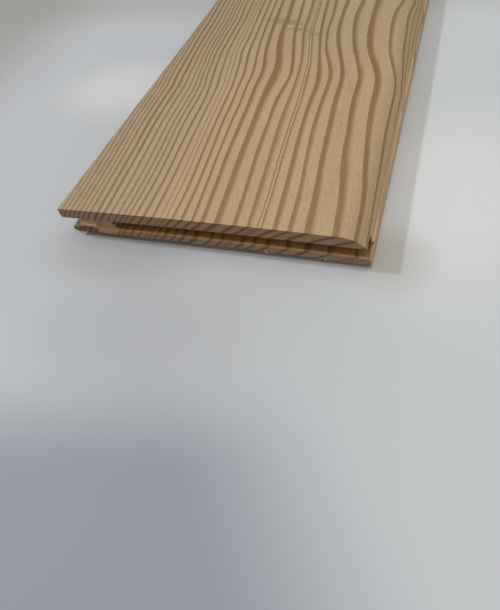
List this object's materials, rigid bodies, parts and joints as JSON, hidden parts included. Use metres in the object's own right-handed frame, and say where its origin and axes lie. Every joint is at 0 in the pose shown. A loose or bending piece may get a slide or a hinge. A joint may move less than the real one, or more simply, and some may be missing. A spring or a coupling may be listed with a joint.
{
  "type": "skirting board",
  "caption": "Flat softwood skirting board with one rounded long edge over a small step, a groove along the other edge and a stopped groove across one end.",
  "frame": {"origin": "middle of the board's length and overall width, on its back face", "axes": "+Y along the length, with the grooved end at -Y; +X across the width towards the rounded edge; +Z out of the face"},
  "size_m": [0.12, 2.4, 0.012],
  "materials": {
    "softwood": "planed, unfinished"
  },
  "bodies": {
    "root": {"board": "softwood"}
  },
  "joints": []
}
